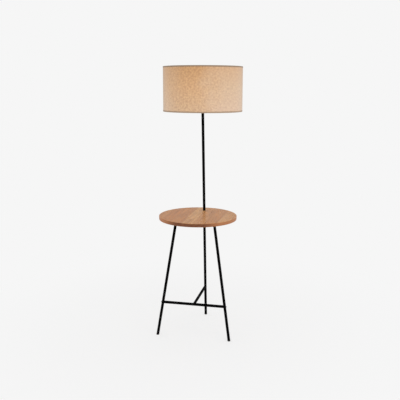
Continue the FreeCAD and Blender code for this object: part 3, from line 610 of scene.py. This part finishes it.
tone = put(oak, "ShaderNodeMix", {"data_type": "RGBA", 6: linear("#B5743F"), 7: linear("#CC9863")},
           {0: chosen.outputs[0]})
light_and_dark = put(oak, "ShaderNodeMapRange",
                     {"From Min": 0.3, "From Max": 0.7, "To Min": 0.8, "To Max": 1.17},
                     {"Value": grain.outputs["Fac"]})
streak_way = put(oak, "ShaderNodeMapping",
                 {"Scale": (1 / STREAK_WIDTH, 1 / STREAK_LENGTH, 1 / STREAK_WIDTH)},
                 {"Vector": moved.outputs[0]})
streaks = put(oak, "ShaderNodeTexNoise", {"Scale": 1.0, "Detail": 2.0},
              {"Vector": streak_way.outputs[0]})
streak = put(oak, "ShaderNodeMapRange", {"From Min": 0.42, "From Max": 0.72, "To Max": 0.6},
             {"Value": streaks.outputs["Fac"]})
warm = put(oak, "ShaderNodeMix", {"data_type": "RGBA", 7: linear("#A66D43")},
           {0: streak.outputs[0], 6: tone.outputs[2]})
ring_shade = put(oak, "ShaderNodeMapRange", {"From Max": 0.5, "To Min": 0.93, "To Max": 1.04},
                 {"Value": ring.outputs[0]})
lit = put(oak, "ShaderNodeMath", {"operation": "MULTIPLY"},
          {0: light_and_dark.outputs[0], 1: ring_shade.outputs[0]})
pore_shade = put(oak, "ShaderNodeMapRange", {"To Min": 1.0, "To Max": 0.8},
                 {"Value": pore.outputs[0]})
lit_pores = put(oak, "ShaderNodeMath", {"operation": "MULTIPLY"},
                {0: lit.outputs[0], 1: pore_shade.outputs[0]})
joint = put(oak, "ShaderNodeMath", {"operation": "PINGPONG", 1: 0.5}, {0: across.outputs[0]})
joint_line = put(oak, "ShaderNodeMapRange",
                 {"From Max": JOINT_SHARE, "To Min": 0.82, "To Max": 1.0},
                 {"Value": joint.outputs[0]})
lit_all = put(oak, "ShaderNodeMath", {"operation": "MULTIPLY"},
              {0: lit_pores.outputs[0], 1: joint_line.outputs[0]})
face = put(oak, "ShaderNodeVectorMath", {"operation": "SCALE"},
           {0: warm.outputs[2], "Scale": lit_all.outputs[0]})

# %% [markdown]
# At the front and back the edge is end grain, cut across the fibres: it drinks more lacquer and
# is darker and redder than the face. At both sides it is cut along the fibres and stays lighter.
# The surface's own direction tells which is which. A pale line on the eased corner between edge
# and face is a painted highlight. The lacquer is satin, and a thin glossier skin on it mirrors the
# pole at a low angle.

# %% Colour of the edge
EDGE_PATCH = 26 * MM
EDGE_LAYER = 3 * MM
ARRIS_HIGHLIGHT_SHARE = 0.3

upright = put(oak, "ShaderNodeSeparateXYZ", {}, {0: place.outputs["Normal"]})
steep = put(oak, "ShaderNodeMath", {"operation": "ABSOLUTE"}, {0: upright.outputs["Z"]})
edge_mask = put(oak, "ShaderNodeMapRange",
                {"From Min": 0.35, "From Max": 0.8, "To Min": 1.0, "To Max": 0.0},
                {"Value": steep.outputs[0]})
end_way = put(oak, "ShaderNodeMapping", {"Scale": (1 / EDGE_PATCH, 1 / EDGE_PATCH, 1 / EDGE_LAYER)},
              {"Vector": place.outputs["Object"]})
ends = put(oak, "ShaderNodeTexNoise", {"Scale": 1.0, "Detail": 3.0}, {"Vector": end_way.outputs[0]})
end_patch = put(oak, "ShaderNodeMapRange", {"From Min": 0.35, "From Max": 0.65},
                {"Value": ends.outputs["Fac"]})
edge_tone = put(oak, "ShaderNodeMix",
                {"data_type": "RGBA", 6: linear("#5F3621"), 7: linear("#855439")},
                {0: end_patch.outputs[0]})
sideways = put(oak, "ShaderNodeMath", {"operation": "ABSOLUTE"}, {0: upright.outputs["X"]})
side_grain = put(oak, "ShaderNodeMapRange",
                 {"From Min": 0.3, "From Max": 0.75, "interpolation_type": "SMOOTHSTEP"},
                 {"Value": sideways.outputs[0]})
rim_tone = put(oak, "ShaderNodeMix", {"data_type": "RGBA", 7: linear("#B0754E")},
               {0: side_grain.outputs[0], 6: edge_tone.outputs[2]})
edged = put(oak, "ShaderNodeMix", {"data_type": "RGBA"},
            {0: edge_mask.outputs[0], 6: face.outputs[0], 7: rim_tone.outputs[2]})
# Painted highlight: a pale line on the eased corner between edge and face, where light catches it.
inside_arris = put(oak, "ShaderNodeMapRange", {"From Min": 0.4, "From Max": 0.7},
                   {"Value": steep.outputs[0]})
outside_arris = put(oak, "ShaderNodeMapRange",
                    {"From Min": 0.85, "From Max": 0.99, "To Min": 1.0, "To Max": 0.0},
                    {"Value": steep.outputs[0]})
arris = put(oak, "ShaderNodeMath", {"operation": "MULTIPLY"},
            {0: inside_arris.outputs[0], 1: outside_arris.outputs[0]})
painted_arris_highlight = put(oak, "ShaderNodeMath", {"operation": "MULTIPLY", 1: ARRIS_HIGHLIGHT_SHARE},
             {0: arris.outputs[0]})
wood = put(oak, "ShaderNodeMix", {"data_type": "RGBA", 7: linear("#CE9C70")},
           {0: painted_arris_highlight.outputs[0], 6: edged.outputs[2]})
gloss = put(oak, "ShaderNodeMapRange", {"To Min": 0.42, "To Max": 0.56},
            {"Value": grain.outputs["Fac"]})
sunk = put(oak, "ShaderNodeMath", {"operation": "SUBTRACT", 0: 1.0}, {1: pore.outputs[0]})
relief = put(oak, "ShaderNodeBump", {"Strength": 0.3, "Distance": 0.08 * MM},
             {"Height": sunk.outputs[0]})
lacquer = put(oak, "ShaderNodeBsdfPrincipled",
              {"IOR": 1.5, "Specular IOR Level": 0.1, "Coat Weight": 0.165,
               "Coat Roughness": 0.16},
              {"Base Color": wood.outputs[2], "Roughness": gloss.outputs[0],
               "Normal": relief.outputs[0]})
finish_with(oak, lacquer.outputs[0])
dress(oak, "table_top")

# %% [markdown]
# ## Linen drum
# The shade is one strip of linen, glued round the film and lapped over itself at the back. It
# could be a plain turned ring, but a real one shows its lap, and a sheet laid by hand is never
# quite round. So the strip is built as a grid of points along its length and height, with a soft
# wave of a tenth of a millimetre or two, and it climbs over its own start. Its UV map holds real
# metres along the cloth and up it, for the weave.

# %% Sizes of the drum
DRUM_LOW, DRUM_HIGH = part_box("shade_fabric")
DRUM_X = (DRUM_LOW.x + DRUM_HIGH.x) / 2
DRUM_Y = (DRUM_LOW.y + DRUM_HIGH.y) / 2
DRUM_R = (DRUM_HIGH.x - DRUM_LOW.x) / 2
CLOTH = 0.6 * MM
LAP = 15 * MM
COLUMNS = 288
ROWS = 20
print("drum radius", round(DRUM_R / MM, 1), "mm")
print("drum height", round((DRUM_HIGH.z - DRUM_LOW.z) / MM, 1), "mm")


# %% A strip of points round the drum
def round_strip(name, turn, columns, profile_at):
    """profile_at(share) gives the (radius, height) points at a share of the turn, from the back."""
    verts = []
    rows = len(profile_at(0.0))
    for c in range(columns + 1):
        angle = math.pi / 2 + turn * c / columns
        for radius, height in profile_at(c / columns):
            x = DRUM_X + radius * math.cos(angle)
            y = DRUM_Y + radius * math.sin(angle)
            verts.append((x, y, height))
    faces = []
    for c in range(columns):
        for r in range(rows - 1):
            a = c * rows + r
            b = (c + 1) * rows + r
            faces.append((a, b, b + 1, a + 1))
    mesh = bpy.data.meshes.new(name)
    mesh.from_pydata(verts, [], faces)
    cloth_map = mesh.uv_layers.new(name="cloth_metres")
    heights = [0.0]
    first = profile_at(0.0)
    for r in range(1, rows):
        heights.append(heights[-1] + math.dist(first[r], first[r - 1]))
    for loop in mesh.loops:
        c, r = divmod(loop.vertex_index, rows)
        cloth_map.data[loop.index].uv = (turn * DRUM_R * c / columns, heights[r])
    for polygon in mesh.polygons:
        polygon.use_smooth = True
    piece = bpy.data.objects.new(name, mesh)
    bpy.context.scene.collection.objects.link(piece)
    print(name, len(mesh.polygons), "faces")
    return piece


# %% The linen strip
STRIP_TRIM = 0.5 * MM
WAVE_ROOM = 0.1 * MM
CLIMB_LENGTH = 4 * MM
TURN = 2 * math.pi + LAP / DRUM_R
STRIP_LOW = DRUM_LOW.z + STRIP_TRIM
STRIP_HIGH = DRUM_HIGH.z - STRIP_TRIM


def linen_profile(share):
    """The strip's upright line of points at a share of its length."""
    angle = TURN * share
    wave = 0.09 * math.sin(3 * angle + 0.8) + 0.06 * math.sin(7 * angle + 2.1)
    climb = min(1.0, max(0.0, (angle - 2 * math.pi) * DRUM_R / CLIMB_LENGTH + 1.0))
    radius = DRUM_R - WAVE_ROOM + wave * MM * (1 - climb) + climb * (CLOTH + WAVE_ROOM)
    return [(radius, STRIP_LOW + (STRIP_HIGH - STRIP_LOW) * r / ROWS) for r in range(ROWS + 1)]


linen_drum = round_strip("linen_drum", TURN, COLUMNS, linen_profile)
thick = linen_drum.modifiers.new("cloth_thickness", "SOLIDIFY")
thick.thickness = CLOTH
thick.offset = -1.0
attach(linen_drum, "stand")
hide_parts("shade_fabric")

# %% [markdown]
# ## Linen: plain weave
# Linen is a plain weave of flax yarns, about nine to a centimetre, and the yarns swell into slubs
# every few centimetres. Seen from across a room the slubs and the uneven dye are what shows, as
# soft mottling. The weave is drawn at 2.2 mm, twice as coarse as it is, so that it shows up
# close. Fine loose fibres give the cloth a pale sheen where it starts to turn away, and where it
# turns quite away its colour is darkened, a painted shade along the drum's outline.

# %% Yarns and slubs
YARN = 2.2 * MM
SLUB_LENGTH = 24 * MM
MOTTLE = 11 * MM
DRIFT = 90 * MM

linen = blank("linen_plain_weave")
cloth = put(linen, "ShaderNodeUVMap", {"uv_map": "cloth_metres"})
axes = put(linen, "ShaderNodeSeparateXYZ", {}, {0: cloth.outputs["UV"]})
warp_way = put(linen, "ShaderNodeMapping", {"Scale": (1 / YARN, 1 / SLUB_LENGTH, 1.0)},
               {"Vector": cloth.outputs["UV"]})
warp = put(linen, "ShaderNodeTexNoise", {"Scale": 1.0, "Detail": 2.0, "noise_dimensions": "2D"},
           {"Vector": warp_way.outputs[0]})
weft_way = put(linen, "ShaderNodeMapping", {"Scale": (1 / SLUB_LENGTH, 1 / YARN, 1.0)},
               {"Vector": cloth.outputs["UV"]})
weft = put(linen, "ShaderNodeTexNoise", {"Scale": 1.0, "Detail": 2.0, "noise_dimensions": "2D"},
           {"Vector": weft_way.outputs[0]})
yarns = put(linen, "ShaderNodeMath", {"operation": "ADD"},
            {0: warp.outputs["Fac"], 1: weft.outputs["Fac"]})
along = put(linen, "ShaderNodeMath", {"operation": "MULTIPLY", 1: math.pi / YARN},
            {0: axes.outputs["X"]})
up = put(linen, "ShaderNodeMath", {"operation": "MULTIPLY", 1: math.pi / YARN},
         {0: axes.outputs["Y"]})
over = put(linen, "ShaderNodeMath", {"operation": "SINE"}, {0: along.outputs[0]})
under = put(linen, "ShaderNodeMath", {"operation": "SINE"}, {0: up.outputs[0]})
crossing = put(linen, "ShaderNodeMath", {"operation": "MULTIPLY"},
               {0: over.outputs[0], 1: under.outputs[0]})
mottle = put(linen, "ShaderNodeTexNoise",
             {"Scale": 1 / MOTTLE, "Detail": 2.0, "Roughness": 0.55, "noise_dimensions": "2D"},
             {"Vector": cloth.outputs["UV"]})
drift = put(linen, "ShaderNodeTexNoise",
            {"Scale": 1 / DRIFT, "Detail": 2.0, "noise_dimensions": "2D"},
            {"Vector": cloth.outputs["UV"]})
print("yarns round the drum", round(2 * math.pi * DRUM_R / YARN))

# %% [markdown]
# The colour mixes two tones: flax, and a paler, greyer one at both sides, which is painted light:
# on the right the light of the lamp there, on the left the sheen of fibres seen at a slant. Both
# get darker towards the upper rim, a painted shade, and paler and greyer low down, painted light
# from the floor. Specks and slubs vary them, less so where the light is painted, and the relief
# lifts each yarn where it crosses over another.

# %% Colour and relief of the linen
MID_HEIGHT = 0.13
TOP_HEIGHT = 0.25
# LIT_SIDE and FAR_SIDE bound where light is painted on the drum's right and left sides.
LIT_SIDE = (0.0, 0.16)
FAR_SIDE = (-0.04, -0.2)

dye = put(linen, "ShaderNodeMapRange", {"From Min": 0.3, "From Max": 0.7},
          {"Value": mottle.outputs["Fac"]})
speck = put(linen, "ShaderNodeMix",
            {"data_type": "RGBA", 6: (0.865, 0.82, 0.83, 1.0), 7: (1.12, 1.145, 1.085, 1.0)},
            {0: dye.outputs[0]})
slub = put(linen, "ShaderNodeMapRange",
           {"From Min": 0.6, "From Max": 1.4, "To Min": 0.88, "To Max": 1.12},
           {"Value": yarns.outputs[0]})
# Painted light by height: paler and greyer low down as painted light from the floor, darker towards
# the upper rim as a painted shade.
lower = put(linen, "ShaderNodeMapRange", {"From Min": 0.0, "From Max": MID_HEIGHT},
            {"Value": axes.outputs["Y"]})
upper = put(linen, "ShaderNodeMapRange", {"From Min": MID_HEIGHT, "From Max": TOP_HEIGHT},
            {"Value": axes.outputs["Y"]})
flax_low = put(linen, "ShaderNodeMix",
               {"data_type": "RGBA", 6: linear("#DBB794"), 7: linear("#DBAF85")},
               {0: lower.outputs[0]})
flax_tone = put(linen, "ShaderNodeMix", {"data_type": "RGBA", 7: linear("#CD9E70")},
                {0: upper.outputs[0], 6: flax_low.outputs[2]})
# The paler, greyer tone of the painted light at the sides.
painted_light_low = put(linen, "ShaderNodeMix",
               {"data_type": "RGBA", 6: linear("#DFC0A6"), 7: linear("#DBBB9C")},
               {0: lower.outputs[0]})
painted_light_tone = put(linen, "ShaderNodeMix", {"data_type": "RGBA", 7: linear("#D6AE89")},
                {0: upper.outputs[0], 6: painted_light_low.outputs[2]})
where = put(linen, "ShaderNodeTexCoord")
sides = put(linen, "ShaderNodeSeparateXYZ", {}, {0: where.outputs["Object"]})
uneven = put(linen, "ShaderNodeMath", {"operation": "MULTIPLY_ADD", 1: 0.12, 2: -0.06},
             {0: drift.outputs["Fac"]})
towards = put(linen, "ShaderNodeMath", {"operation": "ADD"},
              {0: sides.outputs["X"], 1: uneven.outputs[0]})
# Painted light: the right side is painted as lit by the lamp, the left side with a painted sheen.
painted_lit_side = put(linen, "ShaderNodeMapRange",
               {"From Min": LIT_SIDE[0], "From Max": LIT_SIDE[1],
                "interpolation_type": "SMOOTHSTEP"},
               {"Value": towards.outputs[0]})
painted_sheen_side = put(linen, "ShaderNodeMapRange",
                 {"From Min": FAR_SIDE[0], "From Max": FAR_SIDE[1], "To Max": 0.55,
                  "interpolation_type": "SMOOTHSTEP"},
                 {"Value": towards.outputs[0]})
painted_light_share = put(linen, "ShaderNodeMath", {"operation": "MAXIMUM"},
            {0: painted_lit_side.outputs[0], 1: painted_sheen_side.outputs[0]})
tone = put(linen, "ShaderNodeMix", {"data_type": "RGBA"},
           {0: painted_light_share.outputs[0], 6: flax_tone.outputs[2], 7: painted_light_tone.outputs[2]})
# Specks are weaker where the light is painted.
calm_under_painted_light = put(linen, "ShaderNodeMath", {"operation": "MULTIPLY", 1: 0.45}, {0: painted_light_share.outputs[0]})
specked = put(linen, "ShaderNodeMix", {"data_type": "RGBA", 7: (1.0, 1.0, 1.0, 1.0)},
              {0: calm_under_painted_light.outputs[0], 6: speck.outputs[2]})
dyed = put(linen, "ShaderNodeVectorMath", {"operation": "MULTIPLY"},
           {0: tone.outputs[2], 1: specked.outputs[2]})
# Painted shade: the cloth is darkened where it turns away from the camera, along the drum's
# outline.
turned = put(linen, "ShaderNodeLayerWeight", {"Blend": 0.5})
painted_edge_shade = put(linen, "ShaderNodeMapRange",
              {"From Min": 0.6, "From Max": 0.92, "To Min": 1.0, "To Max": 0.8},
              {"Value": turned.outputs["Facing"]})
shaded = put(linen, "ShaderNodeMath", {"operation": "MULTIPLY"},
             {0: slub.outputs[0], 1: painted_edge_shade.outputs[0]})
colour = put(linen, "ShaderNodeVectorMath", {"operation": "SCALE"},
             {0: dyed.outputs[0], "Scale": shaded.outputs[0]})
raised = put(linen, "ShaderNodeMath", {"operation": "MULTIPLY_ADD", 1: 0.35},
             {0: crossing.outputs[0], 2: yarns.outputs[0]})
relief = put(linen, "ShaderNodeBump", {"Strength": 0.5, "Distance": 0.25 * MM},
             {"Height": raised.outputs[0]})
flax = put(linen, "ShaderNodeBsdfPrincipled",
           {"IOR": 1.5, "Roughness": 0.85, "Specular IOR Level": 0.2, "Sheen Weight": 0.45,
            "Sheen Roughness": 0.5, "Sheen Tint": linear("#FFFAF4")},
           {"Base Color": colour.outputs[0], "Normal": relief.outputs[0]})
finish_with(linen, flax.outputs[0])
linen_drum.data.materials.append(linen)

# %% [markdown]
# ## Rim tapes
# Both rims are bound with a strip of the same cloth, glued on, folded over the wire and pressed
# flat inside. The fold is rounded by the wire under it, so the strip follows that outline, a
# little uneven where the hand has pulled it round.

# %% Outline of a folded tape
TAPE = 0.3 * MM
TAPE_WIDTH = 7 * MM
TAPE_STEP = 3 * MM
FOLD_DEPTH = 4.5 * MM
FOLD_STEPS = 5
RIM_LOW, RIM_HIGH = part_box("shade_upper_hem")
FOOT_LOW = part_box("shade_lower_hem")[0]
TAPE_OUT = (RIM_HIGH.x - RIM_LOW.x) / 2 - TAPE / 2
TAPE_IN = TAPE_OUT - FOLD_DEPTH
FOLD_R = 1.0 * MM


def tape_profile(edge, inward, share):
    """From the outside end of the tape, over the fold, to its inside end."""
    angle = 2 * math.pi * share
    pull = 0.35 * math.sin(5 * angle + 1.0) + 0.25 * math.sin(11 * angle)
    end = edge + inward * (TAPE_WIDTH + pull * MM)
    line = edge + inward * TAPE / 2
    points = [(TAPE_OUT, end), (TAPE_OUT, end - inward * TAPE_STEP)]
    for k in range(FOLD_STEPS):
        turn = math.pi / 2 * k / (FOLD_STEPS - 1)
        radius = TAPE_OUT - FOLD_R + FOLD_R * math.cos(turn)
        points.append((radius, line + inward * FOLD_R * (1 - math.sin(turn))))
    for k in range(FOLD_STEPS):
        turn = math.pi / 2 * k / (FOLD_STEPS - 1)
        radius = TAPE_IN + FOLD_R - FOLD_R * math.sin(turn)
        points.append((radius, line + inward * FOLD_R * (1 - math.cos(turn))))
    points.append((TAPE_IN, end - inward * TAPE_STEP))
    points.append((TAPE_IN, end))
    return points


# %% The two tapes
def upper_profile(share):
    """The tape on the upper rim hangs down from it."""
    return tape_profile(RIM_HIGH.z, -1, share)


def lower_profile(share):
    """The tape on the lower rim stands up from it."""
    return tape_profile(FOOT_LOW.z, 1, share)


upper_tape = round_strip("upper_rim_tape", 2 * math.pi, COLUMNS, upper_profile)
lower_tape = round_strip("lower_rim_tape", 2 * math.pi, COLUMNS, lower_profile)
for tape, node in ((upper_tape, "shade_upper_hem"), (lower_tape, "shade_lower_hem")):
    thick = tape.modifiers.new("tape_thickness", "SOLIDIFY")
    thick.thickness = TAPE
    thick.offset = 0.0
    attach(tape, "stand")
    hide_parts(node)

# %% [markdown]
# The tape lies in two layers over glue, so it looks darker and greyer than the drum, and its
# weave is packed tighter along the fold. The tape on the upper rim is a little darker, a painted
# shade like the drum's darker top.

# %% Tape cloth
CLOSE_YARN = 1.4 * MM
TAPE_PATCH = 30 * MM
PAINTED_SHADE_FROM = 1.4
PAINTED_SHADE_TO = 1.5

tape_cloth = blank("linen_tape_folded")
cloth = put(tape_cloth, "ShaderNodeUVMap", {"uv_map": "cloth_metres"})
close_way = put(tape_cloth, "ShaderNodeMapping", {"Scale": (1 / CLOSE_YARN, 1 / CLOSE_YARN, 1.0)},
                {"Vector": cloth.outputs["UV"]})
close = put(tape_cloth, "ShaderNodeTexNoise",
            {"Scale": 1.0, "Detail": 2.0, "noise_dimensions": "2D"},
            {"Vector": close_way.outputs[0]})
patch = put(tape_cloth, "ShaderNodeTexNoise",
            {"Scale": 1 / TAPE_PATCH, "Detail": 3.0, "noise_dimensions": "2D"},
            {"Vector": cloth.outputs["UV"]})
both = put(tape_cloth, "ShaderNodeMath", {"operation": "ADD"},
           {0: close.outputs["Fac"], 1: patch.outputs["Fac"]})
half = put(tape_cloth, "ShaderNodeMath", {"operation": "MULTIPLY", 1: 0.5}, {0: both.outputs[0]})
fresh = put(tape_cloth, "ShaderNodeMix",
            {"data_type": "RGBA", 6: linear("#A1876F"), 7: linear("#B9A088")},
            {0: half.outputs[0]})
where = put(tape_cloth, "ShaderNodeTexCoord")
height = put(tape_cloth, "ShaderNodeSeparateXYZ", {}, {0: where.outputs["Object"]})
# Painted shade: the tape on the upper rim is darkened.
painted_rim_shade = put(tape_cloth, "ShaderNodeMapRange",
            {"From Min": PAINTED_SHADE_FROM, "From Max": PAINTED_SHADE_TO, "To Min": 1.0, "To Max": 0.8},
            {"Value": height.outputs["Z"]})
tone = put(tape_cloth, "ShaderNodeVectorMath", {"operation": "SCALE"},
           {0: fresh.outputs[2], "Scale": painted_rim_shade.outputs[0]})
relief = put(tape_cloth, "ShaderNodeBump", {"Strength": 0.5, "Distance": 0.2 * MM},
             {"Height": close.outputs["Fac"]})
binding = put(tape_cloth, "ShaderNodeBsdfPrincipled",
              {"IOR": 1.5, "Roughness": 0.85, "Specular IOR Level": 0.2, "Sheen Weight": 0.2,
               "Sheen Roughness": 0.45},
              {"Base Color": tone.outputs[0], "Normal": relief.outputs[0]})
finish_with(tape_cloth, binding.outputs[0])
for tape in (upper_tape, lower_tape):
    tape.data.materials.append(tape_cloth)
